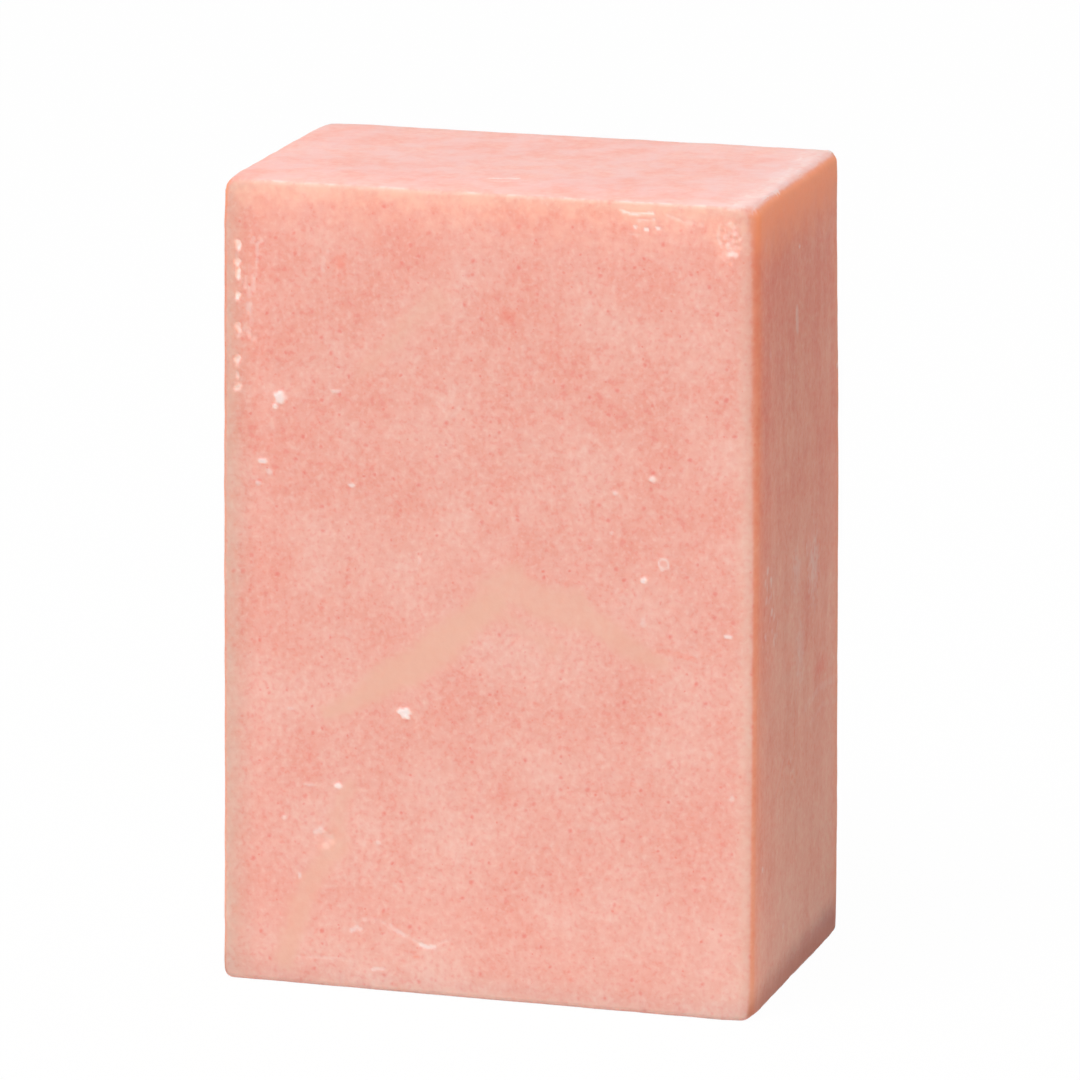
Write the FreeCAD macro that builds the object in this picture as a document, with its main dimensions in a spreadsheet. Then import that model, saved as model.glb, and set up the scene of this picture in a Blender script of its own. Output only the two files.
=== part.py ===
import FreeCAD, Part
import os

# Hand-cut bar of soap, standing on its short end.
# Millimetres. The origin is the centre of the foot, +Z is up, the broad front face looks along -Y
# and the right-hand side along +X. The cutting wire drifted a little, so the bar is slightly
# wider and thicker at its foot than at its crown.

NODE = "soap_bar"

# Each size of the bar: alias, value, what it is.
BAR_SIZES = [
    ("bar_height", 80.0, "foot to crown"),
    ("foot_width", 54.1, "left to right at the foot"),
    ("foot_depth", 33.2, "front to back at the foot"),
    ("crown_width", 53.5, "left to right at the crown"),
    ("crown_depth", 30.9, "front to back at the crown"),
    ("left_edge_radius", 1.3, "upright front edge at the left, still crisp"),
    ("right_edge_radius", 1.7, "upright front edge at the right, worn round by handling"),
    ("back_edge_radius", 1.4, "upright edges at the back"),
    ("crown_edge_radius", 1.0, "edges round the crown"),
    ("foot_edge_radius", 1.0, "edges round the foot"),
]

# Bubbles in the poured soap that the cut laid open, in a column beside the left-hand front edge.
VOID_SIZES = [
    ("void_inset", 1.75, "middle of the column, in from the left-hand side"),
    ("void_depth", 0.35, "how far one bubble reaches into the front face"),
]

# Each bubble of the column: name, how far its middle is below the crown, its size at the face.
# The long and the joined bubble run into each other.
VOIDS = [
    ("upper_void", 6.4, 0.9),
    ("long_void", 8.3, 1.2),
    ("joined_void", 9.2, 1.0),
    ("second_void", 11.5, 0.9),
    ("third_void", 14.7, 1.0),
    ("fourth_void", 18.0, 1.2),
    ("lowest_void", 20.5, 1.0),
]

# The crumbled patch under the right-hand end of the crown edge, and one shallow pock low down.
MARK_SIZES = [
    ("chip_inset", 2.4, "middle of the patch, in from the right-hand side"),
    ("chip_drop", 3.6, "middle of the patch, below the crown"),
    ("chip_size", 3.0, "across the patch"),
    ("chip_depth", 0.5, "how far the patch is broken into the front face"),
    ("pock_inset", 10.6, "middle of the pock, in from the left-hand side"),
    ("pock_drop", 64.9, "middle of the pock, below the crown"),
    ("pock_size", 1.9, "across the pock"),
    ("pock_depth", 0.35, "how far the pock reaches into the front face"),
]

# The way from the middle of the bar to each of its sides, along X.
LEFT = -1
RIGHT = 1

# Two heights closer than this count as the same height when edges are picked.
SAME_HEIGHT = 0.01


def fill_sheet(sheet):
    """Write every size into the sheet and give its cell the alias that the features read."""
    rows = BAR_SIZES + VOID_SIZES + MARK_SIZES
    for name, drop, size in VOIDS:
        rows = rows + [(name + "_drop", drop, "middle of this bubble, below the crown")]
        rows = rows + [(name + "_size", size, "across this bubble")]
    for row, (alias, value, note) in enumerate(rows, start=1):
        sheet.set("A%d" % row, alias)
        sheet.set("B%d" % row, str(value))
        sheet.set("C%d" % row, note)
        sheet.setAlias("B%d" % row, alias)


def origin_plane(body, role):
    """Return the one of the body's own three planes that has this role."""
    return [item for item in body.Origin.OriginFeatures if item.Role == role][0]


def slab(body, name):
    """Build the square-edged block, its foot and its crown each centred on the upright axis.

    A wedge's own Y runs from its first rectangle to its second. Laid on the front-to-back plane,
    it stands up along Z.
    """
    block = body.newObject("PartDesign::AdditiveWedge", name)
    block.AttachmentSupport = [(origin_plane(body, "XZ_Plane"), "")]
    block.MapMode = "FlatFace"
    block.setExpression("Ymin", "0")
    block.setExpression("Ymax", "Sizes.bar_height")
    for low, high, size in [("Xmin", "Xmax", "foot_width"), ("Zmin", "Zmax", "foot_depth"),
                            ("X2min", "X2max", "crown_width"), ("Z2min", "Z2max", "crown_depth")]:
        block.setExpression(low, "-Sizes.%s / 2" % size)
        block.setExpression(high, "Sizes.%s / 2" % size)
    body.Document.recompute()
    return block


def round_edges(body, name, base, radius, test):
    """Round those edges of the base whose limits pass the test, to a radius from the sheet."""
    picked = [number for number, edge in enumerate(base.Shape.Edges, start=1) if test(edge.BoundBox)]
    fillet = body.newObject("PartDesign::Fillet", name)
    fillet.Base = (base, ["Edge%d" % number for number in picked])
    fillet.setExpression("Radius", "Sizes." + radius)
    body.Document.recompute()
    return fillet


def half_at(drop, direction):
    """Write half of the bar's width or depth, at a depth below the crown, as an expression."""
    crown = "Sizes.crown_" + direction
    growth = "(Sizes.foot_%s - %s) * Sizes.%s / Sizes.bar_height" % (direction, crown, drop)
    return "(%s + %s) / 2" % (crown, growth)


def hollow(body, name, side, inset, drop, size, depth):
    """Take a round hollow out of the front face: the cap of a ball that stands outside it.

    side is LEFT or RIGHT, and the other sizes are aliases. The hollow keeps its distance from
    that side and its depth in the front face, which both lean with the wedge.
    """
    before = body.Shape.Volume
    ball = body.newObject("PartDesign::SubtractiveSphere", name)
    ball.AttachmentSupport = [(origin_plane(body, "XY_Plane"), "")]
    ball.MapMode = "FlatFace"
    radius = "(Sizes.{0}^2 / 4 + Sizes.{1}^2) / (2 * Sizes.{1})".format(size, depth)
    ball.setExpression("Radius", radius)
    across = "%d * (%s - Sizes.%s)" % (side, half_at(drop, "width"), inset)
    forward = "-(%s + %s - Sizes.%s)" % (half_at(drop, "depth"), radius, depth)
    ball.setExpression("AttachmentOffset.Base.x", across)
    ball.setExpression("AttachmentOffset.Base.y", forward)
    ball.setExpression("AttachmentOffset.Base.z", "Sizes.bar_height - Sizes." + drop)
    body.Document.recompute()
    if body.Shape.Volume >= before:
        raise RuntimeError(name + " takes nothing away")


def check_document(doc, body):
    """Stop if any object failed, or if the bar isn't one valid closed solid."""
    for item in doc.Objects:
        if "Invalid" in item.State or "Error" in item.State:
            raise RuntimeError("%s failed: %s" % (item.Label, item.State))
    if body.Shape.isNull() or not body.Shape.isValid() or len(body.Shape.Solids) != 1:
        raise RuntimeError(body.Label + " is not one valid solid")


doc = FreeCAD.newDocument("SoapBar")
sheet = doc.addObject("Spreadsheet::Sheet", "Sizes")
fill_sheet(sheet)
doc.recompute()

body = doc.addObject("PartDesign::Body", "SoapBody")
body.Label = NODE

# The block, then its edges: the uprights, and then all round the crown and the foot.
block = slab(body, "Block")
left_edge = round_edges(body, "LeftEdge", block, "left_edge_radius",
                        lambda box: box.ZLength > SAME_HEIGHT and box.YMax < 0 and box.XMax < 0)
right_edge = round_edges(body, "RightEdge", left_edge, "right_edge_radius",
                         lambda box: box.ZLength > SAME_HEIGHT and box.YMax < 0 and box.XMin > 0)
back_edges = round_edges(body, "BackEdges", right_edge, "back_edge_radius",
                         lambda box: box.ZLength > SAME_HEIGHT and box.YMin > 0)
crown_edges = round_edges(body, "CrownEdges", back_edges, "crown_edge_radius",
                          lambda box: box.ZMin > sheet.bar_height - SAME_HEIGHT)
round_edges(body, "FootEdges", crown_edges, "foot_edge_radius",
            lambda box: box.ZMax < SAME_HEIGHT)

# What the cut and later handling left in the front face.
for name, drop, size in VOIDS:
    hollow(body, name, LEFT, "void_inset", name + "_drop", name + "_size", "void_depth")
hollow(body, "corner_chip", RIGHT, "chip_inset", "chip_drop", "chip_size", "chip_depth")
hollow(body, "pock", LEFT, "pock_inset", "pock_drop", "pock_size", "pock_depth")

check_document(doc, body)
os.makedirs("parts", exist_ok=True)
body.Shape.exportStep("parts/%s.step" % body.Label)
print("%s: %.1f cubic millimetres" % (body.Label, body.Shape.Volume))
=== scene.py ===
"""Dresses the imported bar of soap: its worn block, its mottled finish and the studio it stands in.

The block is modelled in millimetres, in the frame's own axes, and scaled to metres at the end.
The foot stands at height 0, the broad front face looks along -Y and the right side along +X.
"""

from __future__ import annotations

import logging
import math
import random
from dataclasses import dataclass
from enum import Enum
from typing import Any

import bmesh
import bpy
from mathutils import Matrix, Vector, kdtree, noise

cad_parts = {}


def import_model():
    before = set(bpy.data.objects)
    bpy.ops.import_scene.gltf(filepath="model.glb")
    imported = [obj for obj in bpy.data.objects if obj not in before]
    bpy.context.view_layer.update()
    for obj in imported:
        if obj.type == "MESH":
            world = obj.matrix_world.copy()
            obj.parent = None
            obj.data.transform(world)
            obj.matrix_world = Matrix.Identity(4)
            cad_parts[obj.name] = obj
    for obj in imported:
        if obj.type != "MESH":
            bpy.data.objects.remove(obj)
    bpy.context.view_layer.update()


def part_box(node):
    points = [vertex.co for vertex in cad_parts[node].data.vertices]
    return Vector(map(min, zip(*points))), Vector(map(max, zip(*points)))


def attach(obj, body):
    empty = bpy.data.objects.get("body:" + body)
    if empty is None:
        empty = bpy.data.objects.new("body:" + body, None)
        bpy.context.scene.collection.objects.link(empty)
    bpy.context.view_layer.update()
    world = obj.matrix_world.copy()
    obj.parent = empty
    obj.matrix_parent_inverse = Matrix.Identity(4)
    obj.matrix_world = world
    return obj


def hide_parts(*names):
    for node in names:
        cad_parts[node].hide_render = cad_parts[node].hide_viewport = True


LOG = logging.getLogger("soap")

METRES = 0.001

# Axes by number, as a vector counts them.
X, Y, Z = 0, 1, 2

# Two heights closer than this, in mm, are the same when edges are picked.
SAME_HEIGHT = 0.01


def linear(red: int, green: int, blue: int) -> tuple[float, float, float, float]:
    """Turn a screen colour into the linear colour that a shader reads.

    Args:
        red: Red, 0 to 255.
        green: Green, 0 to 255.
        blue: Blue, 0 to 255.

    Returns:
        The linear colour with an alpha of 1.
    """
    shares = [value / 255 for value in (red, green, blue)]
    low = [share / 12.92 for share in shares]
    high = [((share + 0.055) / 1.055) ** 2.4 for share in shares]
    picked = [a if share <= 0.04045 else b for share, a, b in zip(shares, low, high)]
    return (picked[0], picked[1], picked[2], 1.0)


def ease(low: float, high: float, value: float) -> float:
    """Rise smoothly from 0 at low to 1 at high.

    Args:
        low: Where the rise starts.
        high: Where it ends, which may be the lower of the two.
        value: Where it is read.

    Returns:
        A share from 0 to 1.
    """
    share = min(1.0, max(0.0, (value - low) / (high - low)))
    return share * share * (3 - 2 * share)


def put(name: str, data: bpy.types.ID) -> bpy.types.Object:
    """Make an object of some data and put it in the scene.

    Args:
        name: The object's name.
        data: Its mesh, lamp or camera.

    Returns:
        The object.
    """
    made = bpy.data.objects.new(name, data)
    bpy.context.scene.collection.objects.link(made)
    return made


def put_mesh(name: str, mesh: bmesh.types.BMesh) -> bpy.types.Object:
    """Put a finished mesh in the scene, and let go of its draft.

    Args:
        name: The name of the object and of its mesh.
        mesh: The draft.

    Returns:
        The object.
    """
    data = bpy.data.meshes.new(name)
    mesh.to_mesh(data)
    mesh.free()
    return put(name, data)


def aim(thing: bpy.types.Object, place: Vector, way: Vector) -> None:
    """Stand a lamp or a camera somewhere and turn it.

    Args:
        thing: The lamp or the camera.
        place: Where it stands, in metres.
        way: The way that it looks.
    """
    thing.location = place
    thing.rotation_mode = "QUATERNION"
    thing.rotation_quaternion = way.to_track_quat("-Z", "Y")


class Face(Enum):
    """A face of the bar that carries marks: its outward way, and the axes that its marks count."""

    FRONT = (Vector((0, -1, 0)), X, Z)
    RIGHT = (Vector((1, 0, 0)), Y, Z)
    CROWN = (Vector((0, 0, 1)), X, Y)

    @property
    def outward(self) -> Vector:
        """The way that the face looks."""
        return self.value[0]

    def flat(self, point: Vector) -> tuple[float, float]:
        """Return a point's place on this face, in millimetres."""
        return (point[self.value[1]], point[self.value[2]])


FRONT, RIGHT, CROWN = Face


# How a mark is read at one point: how far the surface stands out, its chalk and its stain.
Reading = tuple[float, float, float]


@dataclass(frozen=True)
class Spot:
    """A round or oval mark: a bubble laid open, a crumb, a dent or a stain.

    Attributes:
        face: The face that it is on.
        across: Its middle's first place on the face, in mm.
        up: Its middle's second place on the face, in mm.
        width: Its size along the first axis, in mm.
        height: Its size along the second axis, in mm.
        stands: How far its middle stands out of the face, in mm, below 0 for a hollow.
        chalk: How white it is, 0 to 1.
        stain: How red it is, 0 to 1.
        ragged: How uneven its outline is, 0 to 1.
        soft: How much of its radius its outline takes to fade, 0 to 1.
        ring: Whether only its rim is marked.
    """

    face: Face
    across: float
    up: float
    width: float
    height: float
    stands: float
    chalk: float = 0.0
    stain: float = 0.0
    ragged: float = 0.35
    soft: float = 0.45
    ring: bool = False

    def middles(self) -> list[tuple[float, float]]:
        """Return the places that the mark is spread round."""
        return [(self.across, self.up)]

    def reach(self) -> float:
        """Return how far from its middles it is felt, in mm."""
        return 0.75 * max(self.width, self.height)

    def read(self, across: float, up: float) -> Reading:
        """Read the mark at a place on its face.

        Args:
            across: The first place on the face, in mm.
            up: The second place on the face, in mm.

        Returns:
            How far the surface stands out there, its chalk and its stain.
        """
        side = (across - self.across) / (0.5 * self.width)
        rise = (up - self.up) / (0.5 * self.height)
        grain = noise.noise(Vector((across * 1.9, up * 1.9, self.across)))
        far = math.hypot(side, rise) + self.ragged * grain
        if self.ring:
            share = 1 - ease(0.0, self.soft, abs(far - 0.7))
        else:
            share = 1 - ease(1 - self.soft, 1 + 0.3 * self.soft, far)
        return (self.stands * share, self.chalk * share, self.stain * share)


@dataclass(frozen=True)
class Stroke:
    """A long narrow mark through a few points: a scratch, a scrape or a streak of soap dust.

    Attributes:
        face: The face that it is on.
        points: The places that it runs through, in mm.
        width: Its width in its middle, in mm.
        stands: How far it stands out of the face, in mm, below 0 for a scratch.
        chalk: How white it is, 0 to 1.
        broken: How much of it is missing, 0 to 1.
        stain: How red it is, 0 to 1.
    """

    face: Face
    points: tuple[tuple[float, float], ...]
    width: float
    stands: float
    chalk: float = 0.0
    broken: float = 0.3
    stain: float = 0.0

    def middles(self) -> list[tuple[float, float]]:
        """Return places along the stroke, closer together than its reach."""
        places = []
        for (x0, y0), (x1, y1) in zip(self.points, self.points[1:]):
            steps = max(1, round(math.hypot(x1 - x0, y1 - y0) / self.reach()))
            places += [(x0 + (x1 - x0) * k / steps, y0 + (y1 - y0) * k / steps)
                       for k in range(steps + 1)]
        return places

    def reach(self) -> float:
        """Return how far from its line it is felt, in mm."""
        return self.width + 0.25

    def read(self, across: float, up: float) -> Reading:
        """Read the mark at a place on its face.

        Args:
            across: The first place on the face, in mm.
            up: The second place on the face, in mm.

        Returns:
            How far the surface stands out there, its chalk and its stain.
        """
        here = Vector((across, up))
        nearest = 1e9
        for start, end in zip(self.points, self.points[1:]):
            run = Vector(end) - Vector(start)
            along = min(1.0, max(0.0, (here - Vector(start)).dot(run) / run.length_squared))
            nearest = min(nearest, (here - Vector(start) - run * along).length)
        grain = noise.noise(Vector((across * 1.3, up * 1.3, 7.0)))
        nearest += 0.18 * self.width * noise.noise(Vector((across * 4, up * 4, 3.0)))
        share = 1 - ease(0.2 * self.width, 0.62 * self.width, nearest)
        share *= 1 - self.broken * ease(-0.05, 0.25, grain)
        return (self.stands * share, self.chalk * share, self.stain * share)


Mark = Spot | Stroke
Marks = tuple[Mark, ...]


def flakes(face: Face, start: tuple[float, float], end: tuple[float, float], width: float,
           count: int, chalk: float, stands: float = 0.05, tall: float = 1.0) -> Marks:
    """Scatter small flakes or pits of dry soap along a line.

    Args:
        face: The face that they are on.
        start: Where the line starts on the face, in mm.
        end: Where it ends, in mm.
        width: How far the flakes stray from it altogether, in mm.
        count: How many there are, which also seeds their lots.
        chalk: How white the whitest is, 0 to 1.
        stands: How far they stand out of the face, in mm, below 0 for pits.
        tall: How much taller than wide they are.

    Returns:
        The flakes.
    """
    luck = random.Random(count)
    run = Vector(end) - Vector(start)
    aside = Vector((run.y, -run.x)).normalized()
    made = []
    for _ in range(count):
        place = Vector(start) + run * luck.random() + aside * width * luck.triangular(-0.5, 0.5)
        size = luck.uniform(0.28, 0.62)
        made.append(Spot(face, place.x, place.y, size * luck.uniform(0.7, 1.3), size * tall,
                         stands * luck.uniform(0.4, 1.0), chalk=chalk * luck.uniform(0.35, 1.0),
                         ragged=0.9))
    return tuple(made)


def alike(kind: type[Mark], face: Face, *rows: tuple[Any, ...], **look: Any) -> Marks:
    """Make marks of one kind, Spot or Stroke, that share a face and a look."""
    return tuple(kind(face, *row, **look) for row in rows)


# The marks. A row of spots gives each one's place across and up, width, height, how far it
# stands out and chalk. A row of strokes gives each one's points, width, how far it stands out,
# chalk and how broken it is.

# Bubbles laid open by the cut, in a column beside the left-hand front edge, and the pits there.
VOIDS: Marks = (
    *alike(
        Spot, FRONT,
        (-25.0, 73.6, 0.72, 1.10, -0.34, 0.84),
        (-25.1, 60.7, 0.44, 0.80, -0.12, 0.46), ragged=0.8, soft=0.7),
    *alike(
        Spot, FRONT,
        (-25.1, 71.7, 0.60, 1.50, -0.34, 0.72),
        (-25.0, 70.7, 0.50, 1.10, -0.28, 0.72), (-25.1, 68.5, 0.52, 0.90, -0.30, 0.86),
        (-25.0, 65.3, 0.58, 1.50, -0.30, 0.58), (-25.1, 62.0, 0.60, 1.50, -0.32, 0.72),
        (-25.1, 59.5, 0.66, 1.00, -0.30, 0.66), ragged=0.9, soft=0.7),
    *alike(
        Stroke, FRONT,
        (((-22.6, 74.0), (-23.1, 73.6), (-23.1, 72.6)), 0.40, -0.06, 0.32, 0.5),
        (((-23.1, 72.2), (-23.2, 70.8)), 0.34, -0.06, 0.26, 0.6),
        (((-23.5, 70.6), (-23.4, 69.4)), 0.32, -0.06, 0.26, 0.5),
        (((-24.2, 70.4), (-24.3, 69.3)), 0.34, -0.08, 0.38, 0.4)),
    *flakes(FRONT, (-23.8, 74.2), (-24.0, 64.0), 1.6, 15, 0.30, stands=-0.06, tall=1.7),
)

# Crumbs of dry soap pressed into the front face, the larger ones first.
CRUMBS: Marks = (
    Spot(FRONT, -20.8, 58.7, 1.30, 1.25, 0.20, chalk=0.88, ragged=0.5),
    Spot(FRONT, -8.15, 28.3, 1.40, 1.10, 0.20, chalk=0.92, ragged=0.6, soft=0.35),
    Spot(FRONT, -7.75, 27.9, 0.55, 0.65, 0.14, chalk=1.0, soft=0.3),
    Spot(FRONT, 17.9, 44.8, 1.20, 1.40, 0.05, chalk=0.55, ring=True, soft=0.35),
    *alike(
        Spot, FRONT,
        (-21.2, 57.8, 0.60, 0.55, 0.12, 0.8), (-14.9, 20.4, 0.90, 0.70, 0.16, 0.95),
        (16.7, 53.1, 0.80, 0.75, 0.14, 0.65), (15.9, 43.1, 0.75, 0.65, 0.14, 0.85),
        (13.0, 51.5, 0.55, 0.45, 0.08, 0.45), (12.7, 47.6, 0.45, 0.45, 0.05, 0.35),
        (-22.6, 52.3, 1.10, 0.60, 0.12, 0.75), (-21.9, 51.3, 0.65, 0.75, 0.07, 0.40),
        (-23.0, 50.1, 0.60, 0.45, 0.08, 0.50), (-13.5, 50.5, 0.85, 0.42, 0.08, 0.65),
        (24.4, 38.2, 0.80, 0.42, 0.09, 0.70), (-6.6, 43.5, 0.55, 0.95, 0.04, 0.30),
        (-20.5, 16.8, 0.55, 0.60, 0.08, 0.55), (-18.9, 11.1, 0.40, 0.70, 0.06, 0.45),
        (-10.8, 15.0, 0.60, 0.55, 0.06, 0.45), (-17.8, 20.3, 1.50, 0.40, 0.04, 0.35),
        (-19.8, 27.8, 1.00, 0.40, 0.04, 0.30), (-15.1, 59.7, 1.30, 0.40, 0.05, 0.45),
        (24.9, 22.2, 0.55, 0.75, 0.05, 0.35), (15.9, 39.0, 0.60, 1.10, 0.03, 0.25)),
)

# The shallow pock low on the left, its floor darker and its upper rim pale.
POCK: Marks = (
    Spot(FRONT, -16.2, 14.9, 2.10, 1.75, -0.34, chalk=0.16, soft=0.8),
    Spot(FRONT, -16.8, 15.7, 1.70, 0.90, 0.06, chalk=0.60, ragged=0.6, soft=0.8),
    Spot(FRONT, -16.0, 15.2, 1.20, 0.70, 0.02, chalk=0.30, ragged=0.8, soft=0.9),
)

# Scratches and scrapes of the front face, and the nicks under its crown edge.
SCRATCHES: Marks = (
    *alike(
        Stroke, FRONT,
        (((-13.6, 5.9), (-13.0, 6.3), (-12.6, 6.1)), 0.50, -0.06, 0.50),
        (((-12.3, 7.1), (-11.0, 7.3), (-9.8, 6.7)), 0.32, -0.04, 0.26, 0.6),
        (((-9.6, 6.7), (-8.8, 6.2), (-8.1, 5.9)), 0.46, -0.06, 0.42, 0.5),
        (((-7.8, 5.8), (-6.6, 5.1)), 0.34, -0.05, 0.30, 0.5),
        (((-6.5, 5.1), (-5.8, 4.9), (-5.1, 5.0)), 0.50, -0.08, 0.76, 0.1),
        (((-4.9, 5.2), (-3.5, 5.8)), 0.35, -0.04, 0.18),
        (((-11.4, 2.2), (-10.3, 2.3)), 0.45, -0.06, 0.45, 0.4),
        (((-19.6, 2.8), (-16.5, 2.9), (-14.4, 3.1)), 0.36, -0.03, 0.20, 0.6),
        (((13.4, 79.0), (14.4, 78.7), (16.6, 78.9)), 0.30, -0.10, 0.74, 0.3),
        (((15.1, 78.1), (16.7, 78.25)), 0.26, -0.07, 0.45, 0.6),
        (((18.1, 78.7), (19.6, 78.3), (21.4, 78.0)), 0.40, -0.06, 0.26, 0.8),
        (((-15.9, 73.3), (-16.4, 72.3), (-16.4, 71.4)), 0.45, -0.04, 0.22, 0.6)),
    *alike(
        Spot, FRONT,
        (14.8, 77.5, 0.46, 0.36, -0.08, 0.70), (15.9, 77.3, 0.62, 0.40, -0.08, 0.85),
        (17.1, 77.45, 0.52, 0.36, -0.08, 0.78), ragged=0.7),
    Spot(FRONT, 14.9, 76.7, 1.10, 0.30, -0.04, chalk=0.22, ragged=0.9),
)

# The crumbled patch under the right-hand end of the crown edge.
CHIP: Marks = (
    Spot(FRONT, 24.1, 76.4, 2.10, 3.20, -0.34, chalk=0.06, ragged=0.8, soft=0.8),
    Spot(FRONT, 24.3, 75.3, 1.30, 0.60, 0.06, chalk=0.46, ragged=0.9, soft=0.7),
    *alike(Stroke, FRONT, (((23.1, 77.9), (23.0, 76.9), (23.3, 76.0)), 0.32, 0.04, 0.30, 0.6)),
    *flakes(FRONT, (23.8, 78.6), (24.4, 75.2), 1.8, 30, 0.34, stands=0.10),
)

# Stains of pure colour under the surface.
STAINS: Marks = (
    *alike(
        Spot, FRONT,
        (-18.5, 2.9, 1.00, 0.60, 0.0), (-7.0, 3.8, 0.90, 0.50, 0.0),
        stain=0.45, soft=0.8),
    Spot(FRONT, -14.6, 72.5, 1.90, 1.90, -0.03, stain=0.42, soft=0.8),
    Spot(FRONT, 2.3, 68.1, 1.90, 1.70, -0.02, stain=0.38, soft=0.8),
    *alike(Stroke, FRONT, (((17.4, 36.3), (19.0, 36.2), (21.0, 35.7)), 0.60, -0.02), stain=0.22),
)

# What handling left on the right-hand side.
SIDE_MARKS: Marks = (
    *alike(
        Spot, RIGHT,
        (0.1, 73.3, 0.70, 0.45, 0.06, 0.60), (14.2, 58.6, 0.90, 0.70, 0.05, 0.45),
        (-12.8, 14.4, 0.80, 0.70, 0.08, 0.50), (-5.0, 6.6, 1.10, 0.60, 0.05, 0.28)),
    *alike(
        Spot, RIGHT,
        (-11.6, 43.8, 1.00, 0.80, 0.05, 0.44), (-10.4, 42.4, 0.90, 1.10, 0.05, 0.50),
        (-12.0, 40.9, 0.90, 0.70, 0.05, 0.40), (-10.0, 39.4, 0.90, 0.90, 0.05, 0.46),
        (-12.2, 37.4, 0.80, 0.80, 0.05, 0.36), ragged=0.9, soft=0.7),
    *alike(
        Spot, RIGHT,
        (-0.6, 41.2, 3.60, 5.20, -0.08, 0.30), (5.8, 40.4, 4.20, 7.60, -0.10, 0.38),
        (0.8, 32.8, 3.00, 7.20, -0.08, 0.26), ragged=0.9, soft=0.95),
    Spot(RIGHT, -10.5, 64.7, 1.30, 1.40, -0.03, chalk=0.16, soft=0.8),
    Spot(RIGHT, 8.8, 29.4, 6.40, 2.60, -0.05, stain=0.30, soft=0.9),
    Spot(RIGHT, -3.4, 33.6, 5.60, 3.40, -0.05, stain=0.20, soft=0.9),
    Spot(RIGHT, -1.4, 20.8, 2.20, 1.30, -0.16, chalk=0.12, soft=0.6, ring=True),
    Spot(RIGHT, -3.4, 22.6, 0.90, 0.60, -0.10, stain=0.25),
    *alike(
        Stroke, RIGHT,
        (((-0.9, 67.2), (-0.8, 66.4), (-0.7, 65.3)), 1.10, -0.05, 0.36, 0.2),
        (((2.8, 26.6), (8.4, 27.4), (14.6, 26.8)), 0.90, 0.03, 0.16, 0.7),
        (((4.6, 24.6), (9.6, 25.4), (14.8, 24.4)), 0.70, 0.02, 0.12, 0.7)),
    *alike(Stroke, RIGHT, (((-1.6, 24.0), (-0.8, 27.6), (0.6, 31.0)), 0.50, -0.04), stain=0.20),
    *alike(
        Stroke, RIGHT, (((-8.2, 20.6), (-6.6, 21.8), (-5.2, 23.2)), 0.60, -0.12, 0.16),
        stain=0.18),
    *flakes(RIGHT, (-11.5, 43.5), (-8.5, 36.0), 3.4, 22, 0.40, stands=0.05, tall=1.6),
    *flakes(RIGHT, (-7.5, 18.5), (-0.5, 24.0), 2.4, 16, 0.26, stands=-0.10),
    *flakes(RIGHT, (3.0, 44.0), (6.5, 35.0), 4.5, 18, 0.30, stands=0.04, tall=2.0),
)

# Dry soap rubbed along the right-hand edge of the crown.
CROWN_MARKS: Marks = (
    *alike(
        Stroke, CROWN,
        (((25.0, -14.4), (24.6, -11.0), (25.0, -7.6)), 3.0, 0.02, 0.30, 0.8),
        (((25.2, -6.2), (24.8, 1.0), (25.2, 7.6)), 2.0, 0.02, 0.26, 0.8),
        (((25.0, 8.8), (24.6, 12.0), (24.8, 14.6)), 2.8, 0.02, 0.30, 0.8),
        (((-1.6, -8.6), (-0.4, -8.3), (0.8, -7.9)), 0.90, -0.05, 0.62, 0.4),
        (((-0.8, -9.8), (0.3, -9.6)), 0.50, -0.03, 0.45)),
    *flakes(CROWN, (25.1, -14.8), (25.1, 14.8), 2.4, 64, 0.55, stands=0.05, tall=3.5),
)

MARKS: Marks = VOIDS + CRUMBS + POCK + SCRATCHES + CHIP + STAINS + SIDE_MARKS + CROWN_MARKS


@dataclass(frozen=True)
class Swirl:
    """One tapered stretch of a smooth swirl that ran through the pour, on the front face.

    Attributes:
        start: Where its middle starts, in mm across and up.
        end: Where it ends, in mm across and up.
        first: Half its width at its start, in mm.
        last: Half its width at its end, in mm.
        strength: How clearly it shows, 0 to 1.
    """

    start: tuple[float, float]
    end: tuple[float, float]
    first: float
    last: float
    strength: float

    def read(self, across: float, up: float) -> float:
        """Return how strongly the swirl shows at a place on the front face, 0 to 1."""
        run = Vector(self.end) - Vector(self.start)
        away = Vector((across, up)) - Vector(self.start)
        along = min(1.0, max(0.0, away.dot(run) / run.length_squared))
        outside = (away - run * along).length - (self.first + (self.last - self.first) * along)
        return self.strength * ease(0.7, -0.5, outside)


# The swirls of the front face.
SWIRLS: tuple[Swirl, ...] = (
    Swirl((-15.9, 27.4), (-8.0, 32.6), 0.6, 1.9, 0.9),
    Swirl((-8.0, 32.6), (0.6, 39.8), 1.9, 1.3, 0.9),
    Swirl((0.6, 39.8), (2.6, 42.6), 1.3, 0.8, 0.7),
    Swirl((1.0, 41.6), (8.6, 39.6), 1.2, 1.5, 0.65),
    Swirl((8.6, 39.6), (17.2, 35.2), 1.5, 0.7, 0.65),
    Swirl((1.5, 38.6), (7.2, 35.6), 0.7, 0.4, 0.4),
    Swirl((-14.2, 20.2), (-15.8, 13.9), 0.7, 0.9, 0.55),
    Swirl((-15.8, 13.9), (-20.6, 2.6), 0.9, 1.0, 0.7),
    Swirl((-4.6, 69.2), (-12.6, 61.9), 1.1, 0.8, 0.4),
)


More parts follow.
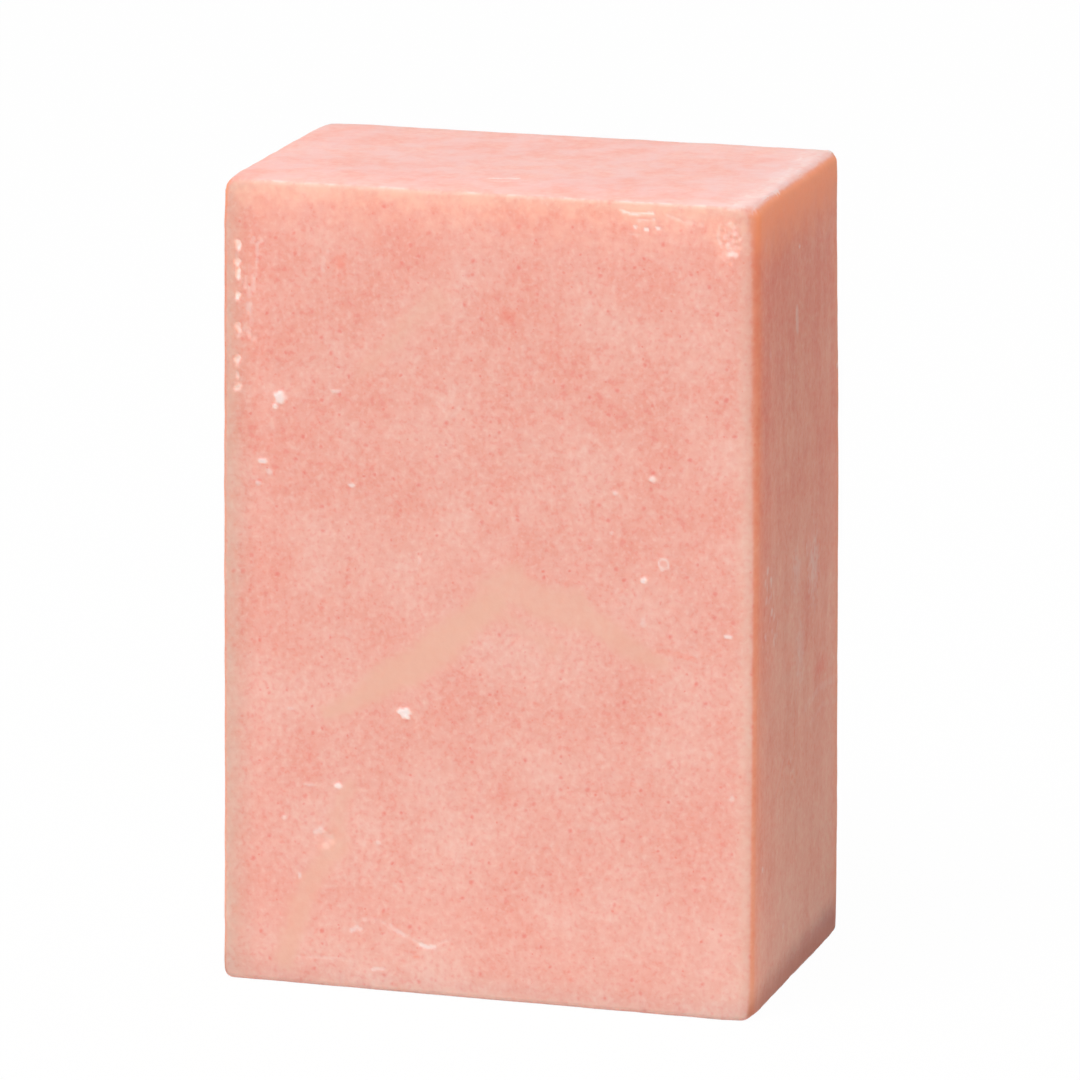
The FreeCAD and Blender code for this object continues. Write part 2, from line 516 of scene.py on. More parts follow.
@dataclass(frozen=True)
class WornCorner:
    """A corner or an edge's end that handling has rounded further than the rest.

    Attributes:
        place: Its middle, in mm.
        extra: How much it adds to the edges' radius, in mm.
        spread: How far along the edges it fades out, in mm.
    """

    place: Vector
    extra: float
    spread: float

    def at(self, point: Vector) -> float:
        """Return what it adds to the radius at a point, in mm."""
        return self.extra * (1 - ease(0.0, self.spread, (point - self.place).length))


@dataclass
class SoapBlock:
    """The bar itself, one cut block of soap.

    Attributes:
        height: Foot to crown, in mm.
        foot_width: Left to right at the foot, in mm.
        foot_depth: Front to back at the foot, in mm.
        crown_width: Left to right at the crown, in mm.
        crown_depth: Front to back at the crown, in mm.
        left_radius: Radius of the upright front edge at the left, in mm.
        right_radius: Radius of the upright front edge at the right, near the crown, in mm.
        right_foot: Radius of the same edge in its lower half, where it is crisper, in mm.
        back_radius: Radius of the upright edges at the back, in mm.
        crown_front: Radius of the crown's front edge, the crispest, in mm.
        crown_back: Radius of its back edge, in mm.
        crown_left: Radius of its left edge, in mm.
        crown_right: Radius of its right edge, in mm.
        foot_front: Radius of the foot's front edge, in mm.
        foot_radius: Radius of its other edges, in mm.
        waver: How much the radius of the edges varies over a few mm, in mm.
        nibble: How much it varies over about 1 mm, in mm.
        facets: How many facets a rounded edge gets.
        grid: Spacing of the mesh over the plain faces, in mm.
        refine: How many cuts each edge of the mesh gets where there is a mark.
        swell: How far the long waves of the cut move the surface, in mm.
        ripple: How far the short waves move it, in mm.
        bow: How far the right-hand side stands out at half its height, in mm.
    """

    height: float = 80.0
    foot_width: float = 54.1
    foot_depth: float = 33.2
    crown_width: float = 53.5
    crown_depth: float = 30.9
    left_radius: float = 1.3
    right_radius: float = 1.8
    right_foot: float = 1.0
    back_radius: float = 1.3
    crown_front: float = 0.5
    crown_back: float = 0.85
    crown_left: float = 1.3
    crown_right: float = 1.1
    foot_front: float = 0.5
    foot_radius: float = 0.9
    waver: float = 0.14
    nibble: float = 0.07
    facets: int = 8
    grid: float = 0.66
    refine: int = 3
    swell: float = 0.07
    ripple: float = 0.022
    bow: float = 0.16

    def half_width(self, height: float) -> float:
        """Return half the distance between the two sides at a height, in mm."""
        return 0.5 * (self.foot_width + (self.crown_width - self.foot_width) * height / self.height)

    def half_depth(self, height: float) -> float:
        """Return half the distance from front to back at a height, in mm."""
        return 0.5 * (self.foot_depth + (self.crown_depth - self.foot_depth) * height / self.height)

    def worn_corners(self) -> tuple[WornCorner, ...]:
        """Return the corners that are rounder than the edges between them."""
        wide, deep, top = 0.5 * self.crown_width, 0.5 * self.crown_depth, self.height
        low_wide, low_deep = 0.5 * self.foot_width, 0.5 * self.foot_depth
        return (
            WornCorner(Vector((-wide, -deep, top)), 0.5, 5.0),
            WornCorner(Vector((-wide, deep, top)), 0.5, 5.0),
            WornCorner(Vector((wide, -deep, top)), 0.5, 4.0),
            WornCorner(Vector((low_wide, -low_deep, 0.0)), 0.45, 4.0),
            WornCorner(Vector((low_wide, low_deep, 0.0)), 0.3, 4.0),
        )

    def build(self) -> bpy.types.Object:
        """Build the block's mesh with its marks, and put it in the scene.

        Returns:
            The finished piece, in metres, at the origin.
        """
        mesh = bmesh.new()
        self._cut_block(mesh)
        self._round_edges(mesh)
        self._lay_grid(mesh)
        self._refine_marks(mesh)
        self._settle(mesh)
        self._shape_surface(mesh)
        bmesh.ops.scale(mesh, vec=Vector((METRES,) * 3), verts=mesh.verts)
        for face in mesh.faces:
            face.smooth = True
        return put_mesh("soap_block", mesh)

    def _cut_block(self, mesh: bmesh.types.BMesh) -> None:
        """Make the square-edged block, wider and thicker at its foot than at its crown."""
        bmesh.ops.create_cube(mesh, size=1.0)
        bmesh.ops.translate(mesh, vec=Vector((0, 0, 0.5)), verts=mesh.verts)
        bmesh.ops.scale(mesh, vec=Vector((1, 1, self.height)), verts=mesh.verts)
        for end in (0.0, self.height):
            ring = [v for v in mesh.verts if abs(v.co.z - end) < 0.5 * self.height]
            size = Vector((2 * self.half_width(end), 2 * self.half_depth(end), 1))
            bmesh.ops.scale(mesh, vec=size, verts=ring)

    def _round_edges(self, mesh: bmesh.types.BMesh) -> None:
        """Round the upright edges, then the edges round the crown and the foot."""
        uprights = ((-1, -1, self.left_radius), (1, -1, self.right_radius),
                    (-1, 1, self.back_radius), (1, 1, self.back_radius))
        for side, back, radius in uprights:
            edges = [e for e in mesh.edges if abs(e.verts[0].co.z - e.verts[1].co.z) > SAME_HEIGHT
                     and all(v.co.x * side > 0 and v.co.y * back > 0 for v in e.verts)]
            self._bevel(mesh, edges, radius)
        for end, radius in ((0.0, self.foot_radius), (self.height, self.crown_back)):
            edges = [e for e in mesh.edges if all(abs(v.co.z - end) < SAME_HEIGHT for v in e.verts)]
            self._bevel(mesh, edges, radius)

    def _bevel(self, mesh: bmesh.types.BMesh, edges: list[bmesh.types.BMEdge],
               radius: float) -> None:
        """Round some edges to a radius."""
        bmesh.ops.bevel(mesh, geom=edges, offset=radius, offset_type="OFFSET",
                        segments=self.facets, profile=0.5, affect="EDGES", clamp_overlap=True,
                        material=-1)

    def _lay_grid(self, mesh: bmesh.types.BMesh) -> None:
        """Divide the long edges in each direction, which lays a grid over every face."""
        lengths = (self.crown_width, self.crown_depth, self.height)
        for axis in (Z, X, Y):
            least = 0.6 * lengths[axis]
            edges = [e for e in mesh.edges
                     if abs(e.verts[0].co[axis] - e.verts[1].co[axis]) > least]
            cuts = round(lengths[axis] / self.grid) - 1
            bmesh.ops.subdivide_edges(mesh, edges=edges, cuts=cuts, use_grid_fill=True)

    def _anchor(self, mark: Mark, place: tuple[float, float]) -> Vector:
        """Return the point in space of a place on a mark's face."""
        first, second = place
        if mark.face is FRONT:
            return Vector((first, -self.half_depth(second), second))
        if mark.face is RIGHT:
            return Vector((self.half_width(second), first, second))
        return Vector((first, second, self.height))

    def _refine_marks(self, mesh: bmesh.types.BMesh) -> None:
        """Divide the faces near each mark further, so that it can be shaped."""
        faces = list(mesh.faces)
        tree = kdtree.KDTree(len(faces))
        for index, face in enumerate(faces):
            tree.insert(face.calc_center_median(), index)
        tree.balance()
        near: set[bmesh.types.BMEdge] = set()
        for mark in MARKS:
            for place in mark.middles():
                anchor = self._anchor(mark, place)
                for _, index, _ in tree.find_range(anchor, mark.reach() + 0.5 * self.grid):
                    near.update(faces[index].edges)
        edges = sorted(near, key=lambda edge: edge.index)
        bmesh.ops.subdivide_edges(mesh, edges=edges, cuts=self.refine, use_grid_fill=True)

    def _upright_radius(self, point: Vector) -> float:
        """Return the radius of the upright edge nearest to a point, without its wear."""
        if point.y > 0:
            return self.back_radius
        if point.x < 0:
            return self.left_radius
        worn = ease(0.45, 0.85, point.z / self.height)
        return self.right_foot + (self.right_radius - self.right_foot) * worn

    def _end_radius(self, way: Vector, at_crown: bool) -> float:
        """Return the radius of the crown's or the foot's edge on the side that way points to."""
        if at_crown:
            ahead = self.crown_back if way.y > 0 else self.crown_front
            side = self.crown_right if way.x > 0 else self.crown_left
        else:
            ahead = self.foot_radius if way.y > 0 else self.foot_front
            side = self.foot_radius
        return side * way.x * way.x + ahead * way.y * way.y

    def _settle(self, mesh: bmesh.types.BMesh) -> None:
        """Bring every point near an edge onto its round, which wear makes uneven."""
        corners = self.worn_corners()
        middle = 0.5 * self.height
        for vertex in mesh.verts:
            point = vertex.co
            wear = max(corner.at(point) for corner in corners)
            wear += self.waver * noise.noise(point * 0.33) + self.nibble * noise.noise(point * 1.1)
            wide, deep = self.half_width(point.z), self.half_depth(point.z)
            radius = self._upright_radius(point) + wear
            side = abs(point.x) - (wide - radius)
            ahead = abs(point.y) - (deep - radius)
            if side > 0 and ahead > 0:
                length = math.hypot(side, ahead)
                out = length - radius
                way = Vector((math.copysign(side / length, point.x),
                              math.copysign(ahead / length, point.y), 0))
            elif abs(point.x) - wide > abs(point.y) - deep:
                out = abs(point.x) - wide
                way = Vector((math.copysign(1, point.x), 0, 0))
            else:
                out = abs(point.y) - deep
                way = Vector((0, math.copysign(1, point.y), 0))
            end_radius = self._end_radius(way, point.z > middle) + wear
            over = out + end_radius
            above = abs(point.z - middle) - (middle - end_radius)
            if over > 0 and above > 0:
                length = math.hypot(over, above)
                point += way * (over * end_radius / length - end_radius - out)
                above *= end_radius / length
                point.z = middle + math.copysign(middle - end_radius + above, point.z - middle)
            elif over > 0:
                point -= way * out

    def _shape_surface(self, mesh: bmesh.types.BMesh) -> None:
        """Move the surface by the waves of the cut and by each mark, and note what shows there.

        The notes are four attributes: chalk, stain and swirl, 0 to 1, and the distance to
        the nearest edge of the bar, in mm.
        """
        mesh.normal_update()
        mesh.verts.ensure_lookup_table()
        chalk = mesh.verts.layers.float.new("chalk")
        stain = mesh.verts.layers.float.new("stain")
        swirl = mesh.verts.layers.float.new("swirl")
        margin = mesh.verts.layers.float.new("margin")
        count = len(mesh.verts)
        stands = [self._waves(v.co, v.normal) for v in mesh.verts]
        tree = kdtree.KDTree(count)
        for index, vertex in enumerate(mesh.verts):
            tree.insert(vertex.co, index)
            vertex[margin] = self._margin(vertex.co)
            vertex[swirl] = self._swirled(vertex.co, vertex.normal)
        tree.balance()
        for mark in MARKS:
            touched = set()
            for place in mark.middles():
                found = tree.find_range(self._anchor(mark, place), mark.reach() + 0.3)
                touched.update(index for _, index, _ in found)
            for index in sorted(touched):
                vertex = mesh.verts[index]
                facing = ease(0.2, 0.6, vertex.normal.dot(mark.face.outward))
                out, white, red = mark.read(*mark.face.flat(vertex.co))
                stands[index] += out * facing
                vertex[chalk] = max(vertex[chalk], white * facing)
                vertex[stain] = max(vertex[stain], red * facing)
        limits = [Vector(corner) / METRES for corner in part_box("soap_bar")]
        for vertex, out in zip(mesh.verts, stands):
            moved = vertex.co + vertex.normal * out
            vertex.co = Vector(min(max(moved[i], limits[0][i]), limits[1][i]) for i in range(3))

    def _waves(self, point: Vector, normal: Vector) -> float:
        """Return how far the cut's own unevenness moves a point outwards, in mm.

        Args:
            point: The point, in mm.
            normal: The outward way there.

        Returns:
            The move, 0 at the foot, which rests flat.
        """
        long_wave = self.swell * noise.noise(point / 17 + Vector((3.1, 0.4, 9.2)))
        short_wave = self.ripple * noise.fractal(point / 3.5, 0.7, 2.0, 3)
        rise = point.z / self.height
        bowed = self.bow * max(0.0, normal.x) * math.sin(math.pi * rise)
        steady = ease(0.0, 4.0, point.z)
        return steady * (long_wave + short_wave + bowed)

    @staticmethod
    def _swirled(point: Vector, normal: Vector) -> float:
        """Return how strongly a swirl shows at a point, 0 to 1: only on the front face."""
        if normal.y > -0.8:
            return 0.0
        drift = noise.noise_vector(point * 0.22) * 1.2 + noise.noise_vector(point * 0.8) * 0.35
        return max(swirl.read(point.x + drift.x, point.z + drift.z) for swirl in SWIRLS)

    def _margin(self, point: Vector) -> float:
        """Return how far a point on the surface is from the nearest edge of the bar, in mm."""
        inside = sorted((self.half_width(point.z) - abs(point.x),
                         self.half_depth(point.z) - abs(point.y),
                         0.5 * self.height - abs(point.z - 0.5 * self.height)))
        return inside[1]


class Wire:
    """One output of a shader node, on which plain arithmetic adds Math nodes."""

    def __init__(self, bench: Bench, socket: bpy.types.NodeSocket) -> None:
        """Wrap an output of a node that stands on a bench."""
        self.bench = bench
        self.socket = socket

    def __add__(self, other: Value) -> Wire:
        """Add."""
        return self.bench.math("ADD", self, other)

    __radd__ = __add__

    def __sub__(self, other: Value) -> Wire:
        """Subtract."""
        return self.bench.math("SUBTRACT", self, other)

    def __rsub__(self, other: Value) -> Wire:
        """Subtract from a number."""
        return self.bench.math("SUBTRACT", other, self)

    def __mul__(self, other: Value) -> Wire:
        """Multiply."""
        return self.bench.math("MULTIPLY", self, other)

    __rmul__ = __mul__

    def __truediv__(self, other: Value) -> Wire:
        """Divide."""
        return self.bench.math("DIVIDE", self, other)


Value = Wire | float


class Bench:
    """Lays out the nodes of one material or of the world."""

    def __init__(self, tree: bpy.types.NodeTree) -> None:
        """Empty a node tree and start on it."""
        self.tree = tree
        tree.nodes.clear()

    def node(self, kind: str, settings: dict[str, Any] | None = None,
             sockets: dict[str | int, Any] | None = None, output: str | int = 0) -> Wire:
        """Add a node: first its settings, then its sockets.

        Args:
            kind: The node's type.
            settings: The node's own settings by name.
            sockets: A value or a wire for each socket, by name or number.
            output: The output to return, by name or number.

        Returns:
            The output asked for.
        """
        made = self.tree.nodes.new(kind)
        for name, value in (settings or {}).items():
            setattr(made, name, value)
        for key, value in (sockets or {}).items():
            if isinstance(value, Wire):
                self.tree.links.new(value.socket, made.inputs[key])
            else:
                made.inputs[key].default_value = value
        if not made.outputs:
            return Wire(self, made.inputs[0])
        return Wire(self, made.outputs[output])

    def math(self, operation: str, *values: Value, clamp: bool = False) -> Wire:
        """Add a Math node, its result kept between 0 and 1 if clamp is set."""
        settings = {"operation": operation, "use_clamp": clamp}
        return self.node("ShaderNodeMath", settings, dict(enumerate(values)))

    def vector(self, operation: str, *values: Any, output: str | int = 0) -> Wire:
        """Add a Vector Math node and return one of its outputs."""
        return self.node("ShaderNodeVectorMath", {"operation": operation},
                         dict(enumerate(values)), output)

    def blend(self, share: Value, first: Any, second: Any, way: str = "MIX") -> Wire:
        """Mix two colours: the share is how much of the second one shows."""
        return self.node("ShaderNodeMix", {"data_type": "RGBA", "clamp_factor": True,
                                           "blend_type": way},
                         {0: share, 6: first, 7: second}, 2)

    def split(self, vector: Wire, axis: str) -> Wire:
        """Return one part of a vector: its X, Y or Z."""
        return self.node("ShaderNodeSeparateXYZ", {}, {0: vector}, axis)

    def rise(self, value: Wire, low: float, high: float) -> Wire:
        """Rise smoothly from 0 to 1 as a value goes from low to high.

        Args:
            value: The value that is read.
            low: Where the rise starts.
            high: Where it ends.

        Returns:
            The share, 0 to 1.
        """
        if low < high:
            return self.node("ShaderNodeMapRange", {"interpolation_type": "SMOOTHSTEP"},
                             {"Value": value, "From Min": low, "From Max": high})
        return 1 - self.rise(value, high, low)

    def grain(self, place: Wire, size: float, detail: float, rough: float = 0.55) -> Wire:
        """Add an even noise about 0.5, with its larger grains of a size in mm."""
        return self.node("ShaderNodeTexNoise", {"noise_dimensions": "3D"},
                         {"Vector": place, "Scale": 1 / size, "Detail": detail,
                          "Roughness": rough}, "Fac")

    def specks(self, place: Wire, spacing: float, size: float) -> Wire:
        """Scatter round specks of uneven size.

        Args:
            place: The coordinates, in mm.
            spacing: About how far apart they are, in mm.
            size: Radius of the largest, in mm.

        Returns:
            A mask that is 1 in the middle of a speck.
        """
        cells = self.node("ShaderNodeTexVoronoi", {"feature": "F1", "voronoi_dimensions": "3D"},
                          {"Vector": place, "Scale": 1 / spacing, "Randomness": 1.0}, "Distance")
        colour = Wire(self, cells.socket.node.outputs["Color"])
        lot = self.node("ShaderNodeSeparateColor", {}, {0: colour}, 0)
        radius = lot * lot * lot * (size / spacing)
        return self.math("SUBTRACT", 1.0, cells / (radius + 0.001), clamp=True)


@dataclass(frozen=True)
class Ground:
    """Where on the bar the shader is, as wires.

    Attributes:
        place: The coordinates, in mm.
        height: The height above the foot, in mm.
        margin: The distance to the nearest edge, in mm.
        front: The front face's mask.
        side: The two narrow sides' mask.
        crown: The crown's mask.
    """

    place: Wire
    height: Wire
    margin: Wire
    front: Wire
    side: Wire
    crown: Wire


@dataclass(frozen=True)
class SoapFinish:
    """Poured soap: coral and pale fibres clouded together, red specks, satin and translucent.

    Attributes:
        pale: The paler of the clouded colours.
        coral: The stronger of them.
        speck: The red specks.
        fleck: The pale flecks.
        veil: The smooth peach swirls that ran through the pour.
        chalk: Dry soap in scratches, pits and crumbs.
        stain: Stains of strong colour.
        tan: The pale colour painted along the front face's edges, for the light that leaks out
            through the thin soap there.
        shade: What the front face's left-hand strip leaves of the light, as a colour.
        salmon: The painted glow of the front face under the crown and along its foot, where light
            shines through the thin soap.
        bloom_and_sheen: The crown's whitish colour: partly a dry film of soap, partly a painted
            sheen where the top catches the light.
        mild: The painted shade of the narrow sides' lower part: what it leaves of the light, as a
            colour.
        deep: The same for their upper part, and for their darker streaks.
        foot_shadow: The same for the painted contact shadow at their foot.
        glow: The painted orange glow of the narrow sides' edges, where light shines through the
            thin soap.
        fibre_size: Size of the fine fibres, in mm.
        drift_size: Size of the broad clouds, in mm.
        grit_size: Size of the fine grit and of the pale flecks, in mm.
        speck_gap: About how far apart the bold red specks are, in mm.
        speck_size: Radius of the largest of them, in mm.
        streak_size: Width of the streaks on the narrow sides, in mm.
        satin: Roughness of the plain surface.
        clear: How much of the light goes under the surface, 0 to 1.
        depth: How far that light spreads, in mm.
    """

    pale: tuple[float, ...] = linear(249, 196, 183)
    coral: tuple[float, ...] = linear(243, 167, 152)
    speck: tuple[float, ...] = linear(240, 104, 98)
    fleck: tuple[float, ...] = linear(253, 217, 206)
    veil: tuple[float, ...] = linear(243, 190, 168)
    chalk: tuple[float, ...] = linear(252, 234, 231)
    stain: tuple[float, ...] = linear(246, 124, 100)
    tan: tuple[float, ...] = linear(246, 204, 186)
    shade: tuple[float, ...] = (0.84, 0.90, 0.88, 1.0)
    salmon: tuple[float, ...] = linear(255, 204, 184)
    bloom_and_sheen: tuple[float, ...] = linear(245, 203, 201)
    mild: tuple[float, ...] = (1.0, 0.94, 0.83, 1.0)
    deep: tuple[float, ...] = (0.94, 0.67, 0.56, 1.0)
    foot_shadow: tuple[float, ...] = (0.46, 0.14, 0.12, 1.0)
    glow: tuple[float, ...] = linear(255, 162, 120)
    fibre_size: float = 0.9
    drift_size: float = 7.0
    grit_size: float = 0.5
    speck_gap: float = 0.9
    speck_size: float = 0.36
    streak_size: float = 2.6
    satin: float = 0.5
    clear: float = 0.65
    depth: float = 12.0

    def dress(self, piece: bpy.types.Object) -> None:
        """Give the piece this finish.

        Args:
            piece: The soap block.
        """
        material = bpy.data.materials.new("poured_soap")
        material.use_nodes = True
        bench = Bench(material.node_tree)
        metres = bench.node("ShaderNodeTexCoord", output="Object")
        place = bench.node("ShaderNodeMapping", {"vector_type": "POINT"},
                           {"Vector": metres, "Scale": (1 / METRES,) * 3})
        outward = bench.node("ShaderNodeTexCoord", output="Normal")
        ground = Ground(
            place=place,
            height=bench.split(place, "Z"),
            margin=self._note(bench, "margin"),
            front=bench.rise(bench.split(outward, "Y"), -0.6, -0.95),
            side=bench.rise(bench.math("ABSOLUTE", bench.split(outward, "X")), 0.55, 0.9),
            crown=bench.rise(bench.split(outward, "Z"), 0.5, 0.95))
        chalk = self._note(bench, "chalk")
        colour = self._poured(bench, ground)
        colour = self._crown_and_sides(bench, ground, colour)
        colour = self._edge_light_and_shade(bench, ground, colour)
        colour = bench.blend(self._note(bench, "stain"), colour, self.stain)
        colour = bench.blend(chalk, colour, self.chalk)
        grain = bench.grain(place, 0.22, detail=0.0)
        relief = grain * 0.4 + bench.grain(place, 0.9, detail=1.0) * 0.6
        bump = bench.node("ShaderNodeBump", {}, {"Strength": 0.4, "Distance": 0.06 * METRES,
                                                 "Height": relief * (1 - ground.crown * 0.6)})
        rough = self.satin + (grain - 0.5) * 0.16 + chalk * 0.25
        shader = bench.node("ShaderNodeBsdfPrincipled", {"subsurface_method": "BURLEY"}, {
            "Base Color": colour, "Roughness": rough, "Normal": bump, "IOR": 1.42,
            "Specular IOR Level": 0.4, "Subsurface Weight": self.clear,
            "Subsurface Radius": (1.0, 0.30, 0.17), "Subsurface Scale": self.depth * METRES})
        bench.node("ShaderNodeOutputMaterial", {}, {"Surface": shader})
        piece.data.materials.clear()
        piece.data.materials.append(material)

    @staticmethod
    def _note(bench: Bench, name: str) -> Wire:
        """Read one of the notes that the mesh carries."""
        return bench.node("ShaderNodeAttribute", {"attribute_name": name}, output="Fac")

    def _poured(self, bench: Bench, ground: Ground) -> Wire:
        """Colour the soap through and through: clouds, specks, flecks and swirls.

        Args:
            bench: The bench to work on.
            ground: Where on the bar it is.

        Returns:
            The colour.
        """
        fibres = bench.grain(ground.place, self.fibre_size, detail=3.0)
        drifts = bench.grain(ground.place, self.drift_size, detail=2.0, rough=0.5)
        share = (fibres - 0.5) * 1.5 + (drifts - 0.5) * 1.4 + (ground.height - 40) * 0.004 + 0.56
        colour = bench.blend(share, self.pale, self.coral)
        bend = bench.node("ShaderNodeVectorMath", {"operation": "SCALE"},
                          {0: (1.0, -0.7, 0.8), "Scale": fibres * 0.6})
        grit = bench.grain(ground.place, self.grit_size, detail=1.0, rough=0.5)
        bent = bench.vector("ADD", ground.place, bend)
        bold = bench.specks(bent, self.speck_gap, self.speck_size)
        red = bench.math("MAXIMUM", bench.rise(grit, 0.52, 0.74) * 0.22, bold * 0.62)
        swirl = self._note(bench, "swirl")
        open_ground = (1 - swirl) * (1 - ground.crown * 0.55) * (1 - ground.side * 0.15)
        colour = bench.blend(bench.rise(grit, 0.46, 0.26) * open_ground * 0.25, colour, self.fleck)
        colour = bench.blend(red * open_ground, colour, self.speck)
        return bench.blend(swirl * 0.85, colour, self.veil)

    def _crown_and_sides(self, bench: Bench, ground: Ground, colour: Wire) -> Wire:
        """Give the crown its dry whitish film, partly a painted sheen, and paint shade onto the
        streaked narrow sides, with a painted contact shadow at their foot.

        Args:
            bench: The bench to work on.
            ground: Where on the bar it is.
            colour: The colour so far.

        Returns:
            The new colour.
        """
        patch = bench.grain(ground.place, 3.0, detail=2.0)
        # Whitish crown, most along its right-hand edge: partly a dry film of soap, partly a painted
        # sheen where the top catches the light.
        right = bench.rise(bench.split(ground.place, "X"), 18.0, 26.0) * 0.40
        dry = (bench.rise(patch, 0.3, 0.7) * 0.5 + 0.1 + right) * ground.crown
        colour = bench.blend(dry, colour, self.bloom_and_sheen)
        along = bench.vector("MULTIPLY", ground.place, (1, 1, 0.16))
        streaks = bench.grain(along, self.streak_size, detail=2.0)
        # Painted shade on the narrow sides, deeper higher up, with their streaks and patches
        # through it.
        share = bench.rise(ground.height, 10, 72) * 0.8 + 0.1
        share = share + (streaks - 0.5) * 1.7 + (patch - 0.5) * 1.5
        shade = bench.blend(share, self.mild, self.deep)
        colour = bench.blend(ground.side, colour, shade, "MULTIPLY")
        # Painted contact shadow at the narrow sides' foot, reaching higher towards the back.
        shadow_height = ground.height - bench.split(ground.place, "Y") * 0.05 + patch * 1.2
        return bench.blend(bench.rise(shadow_height, 5.3, 0.5) * ground.side, colour, self.foot_shadow, "MULTIPLY")

    def _edge_light_and_shade(self, bench: Bench, ground: Ground, colour: Wire) -> Wire:
        """Paint light and shade at the edges: a glow where light shines through the thin, clear
        soap, pale tan where light leaks out of it, shade on the front's left-hand strip, and a pale
        crown edge, partly rubbed dry and partly a painted highlight.

        Args:
            bench: The bench to work on.
            ground: Where on the bar it is.
            colour: The colour so far.

        Returns:
            The new colour.
        """
        margin, height, front = ground.margin, ground.height, ground.front
        patch = bench.grain(ground.place, 1.6, detail=2.0)
        # Painted light: pale tan along the front face's edges, where light leaks out of the thin
        # soap.
        rim = bench.rise(margin, 2.4, 0.4) * (patch * 0.6 + 0.1) * front
        colour = bench.blend(rim * bench.rise(height, 1.0, 4.0), colour, self.tan)
        left = bench.rise(bench.split(ground.place, "X"), -22.6, -26.4) * (patch * 0.5 + 0.6)
        colour = bench.blend(left * front, colour, self.shade, "MULTIPLY")
        # Painted glow under the crown and along the foot of the front face, where light shines
        # through the thin soap.
        band = bench.rise(height, 72.5, 79.0) * bench.rise(patch, 0.3, 0.7)
        foot = bench.rise(height, 1.4, 0.2) * bench.rise(patch, 0.25, 0.55) * front
        colour = bench.blend((band * front + foot) * 0.55, colour, self.salmon)
        # Painted glow on the narrow sides near their edges and under the crown, where light shines
        # through the thin soap.
        lip = bench.math("MAXIMUM", bench.rise(margin, 3.6, 0.2) * 0.42,
                         bench.rise(height + patch * 3, 73.0, 80.5))
        colour = bench.blend(lip * ground.side, colour, self.glow)
        # A pale line along the crown edge: partly soap rubbed dry, partly a painted highlight.
        rubbed = bench.rise(margin, 0.35, 0.05) * bench.rise(height, 78.6, 79.4)
        return bench.blend(rubbed * bench.rise(patch, 0.4, 0.65) * 0.6, colour, self.chalk)


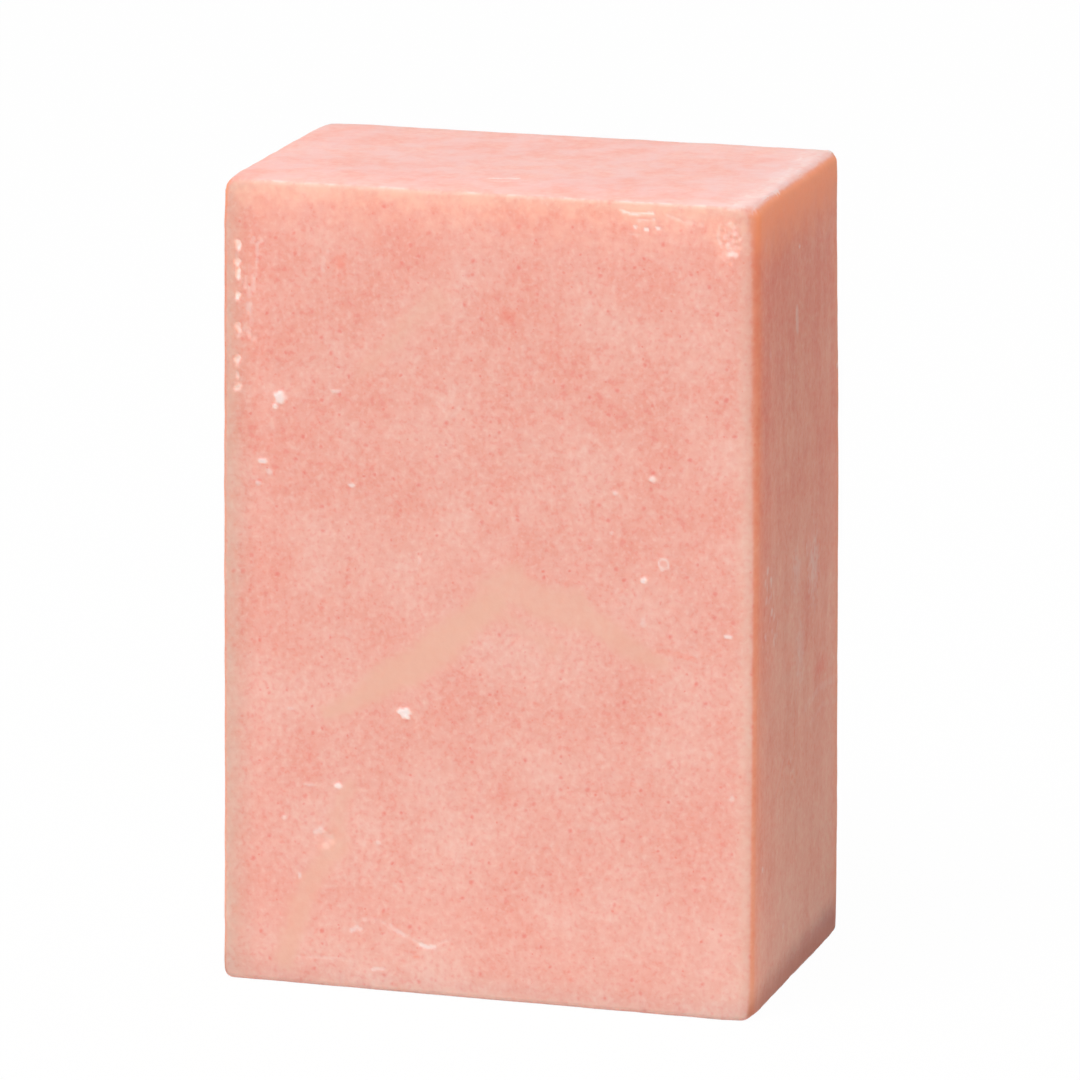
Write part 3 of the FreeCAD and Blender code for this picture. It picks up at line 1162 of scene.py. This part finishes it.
@dataclass(frozen=True)
class Studio:
    """A plain white studio: floor, surround, one broad lamp and the camera.

    Attributes:
        camera_place: Where the camera stands, in mm.
        camera_target: What it looks at, in mm.
        lens: Its focal length on a 36 mm sensor, in mm.
        floor_size: The floor's length and width, in m.
        floor_gap: How far it lies under the foot, in mm.
        surround: Strength of the light from all round.
        surround_tint: Its colour, a little warm.
        lamp_place: Where the lamp hangs, in m.
        lamp_target: What it is turned to, in m.
        lamp_size: Its length and width, in m.
        lamp_watts: Its power.
        floor_white: How much of the floor's own shading is hidden from the camera, 0 to 1.
    """

    camera_place: tuple[float, float, float] = (221.654, -731.303, 225.521)
    camera_target: tuple[float, float, float] = (0.507, 0.709, 42.218)
    lens: float = 266.67
    floor_size: float = 8.0
    floor_gap: float = 0.05
    surround: float = 0.355
    surround_tint: tuple[float, ...] = (1.0, 0.95, 0.88, 1.0)
    lamp_place: tuple[float, float, float] = (-0.25, -0.75, 1.55)
    lamp_target: tuple[float, float, float] = (0.0, 0.0, 0.04)
    lamp_size: float = 0.9
    lamp_watts: float = 23.0
    floor_white: float = 0.98

    def build(self) -> None:
        """Build the floor, the surround, the lamp and the camera."""
        self._floor()
        self._surround()
        self._lamp()
        self._camera()
        bpy.context.scene.view_settings.view_transform = "Standard"

    @staticmethod
    def _seen(bench: Bench) -> Wire:
        """Return 1 for what the camera sees itself, in a reflection or through glass."""
        light = bench.node("ShaderNodeLightPath", output="Is Camera Ray")
        rays = light.socket.node.outputs
        seen = bench.math("MAXIMUM", light, Wire(bench, rays["Is Glossy Ray"]))
        return bench.math("MAXIMUM", seen, Wire(bench, rays["Is Transmission Ray"]))

    def _floor(self) -> None:
        """Lay the pale floor just under the foot."""
        mesh = bmesh.new()
        bmesh.ops.create_grid(mesh, x_segments=1, y_segments=1, size=0.5 * self.floor_size)
        bmesh.ops.translate(mesh, vec=Vector((0, 0, -self.floor_gap * METRES)), verts=mesh.verts)
        floor = put_mesh("studio_floor", mesh)
        material = bpy.data.materials.new("white_paper")
        material.use_nodes = True
        bench = Bench(material.node_tree)
        paper = bench.node("ShaderNodeBsdfDiffuse", {}, {"Color": (0.88, 0.88, 0.88, 1)})
        white = bench.node("ShaderNodeEmission", {}, {"Color": (1, 1, 1, 1), "Strength": 1.0})
        mixed = bench.node("ShaderNodeMixShader", {}, {0: self._seen(bench) * self.floor_white,
                                                       1: paper, 2: white})
        bench.node("ShaderNodeOutputMaterial", {}, {"Surface": mixed})
        floor.data.materials.append(material)

    def _surround(self) -> None:
        """Light the scene evenly from all round, white where the camera sees it."""
        world = bpy.data.worlds.new("white_room")
        world.use_nodes = True
        bench = Bench(world.node_tree)
        fill = bench.node("ShaderNodeBackground", {}, {"Color": self.surround_tint,
                                                       "Strength": self.surround})
        white = bench.node("ShaderNodeBackground", {}, {"Color": (1, 1, 1, 1), "Strength": 1.0})
        mixed = bench.node("ShaderNodeMixShader", {}, {0: self._seen(bench), 1: fill, 2: white})
        bench.node("ShaderNodeOutputWorld", {}, {"Surface": mixed})
        bpy.context.scene.world = world

    def _lamp(self) -> None:
        """Hang the broad lamp above and before the bar, a little to its left."""
        light = bpy.data.lights.new("broad_lamp", "AREA")
        light.energy = self.lamp_watts
        light.size = self.lamp_size
        place = Vector(self.lamp_place)
        aim(put("broad_lamp", light), place, Vector(self.lamp_target) - place)

    def _camera(self) -> None:
        """Stand the camera where the photograph was taken from."""
        data = bpy.data.cameras.new("camera")
        data.lens = self.lens
        data.sensor_width = 36.0
        data.clip_start = 0.05
        data.clip_end = 50.0
        camera = put("camera", data)
        place = Vector(self.camera_place)
        aim(camera, place * METRES, Vector(self.camera_target) - place)
        bpy.context.scene.camera = camera


def main() -> None:
    """Build the bar and the studio round it, and report what was built."""
    logging.basicConfig(level=logging.INFO, format="%(name)s: %(message)s")
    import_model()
    Studio().build()
    block = SoapBlock().build()
    SoapFinish().dress(block)
    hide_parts("soap_bar")
    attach(block, "root")
    triangles = sum(len(face.vertices) - 2 for face in block.data.polygons)
    LOG.info("%s: %d triangles", block.name, triangles)


if __name__ == "__main__":
    main()
